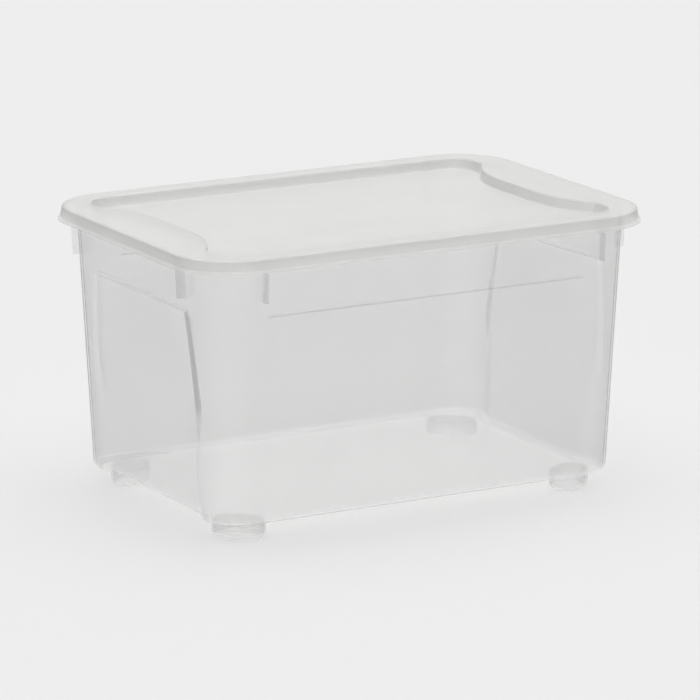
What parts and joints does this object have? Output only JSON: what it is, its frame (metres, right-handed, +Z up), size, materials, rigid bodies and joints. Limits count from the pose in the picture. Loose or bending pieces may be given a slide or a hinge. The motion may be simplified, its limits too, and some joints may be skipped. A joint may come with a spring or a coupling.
{
  "type": "storage bin",
  "caption": "Clear rectangular storage bin with tapered walls, end hand grips, hollow feet and a lift-off lid whose sunken panel takes the feet of a bin stacked on top.",
  "frame": {"origin": "on the ground, under the middle of the bin", "axes": "+Z up, +X along the long sides, front long side faces -Y"},
  "size_m": [0.57, 0.394, 0.316],
  "materials": {
    "tub_plastic": "clear natural polypropylene, softly glossy, slightly cloudy",
    "lid_plastic": "clear natural polypropylene, slightly milkier and finely textured on top"
  },
  "bodies": {
    "tub": {"tub": "tub_plastic"},
    "lid": {"lid": "lid_plastic"}
  },
  "joints": [
    {"name": "lid_lift", "type": "slide", "parent": "tub", "child": "lid", "axis": [0, 0, 1], "range_m": [0, 0.12]}
  ]
}
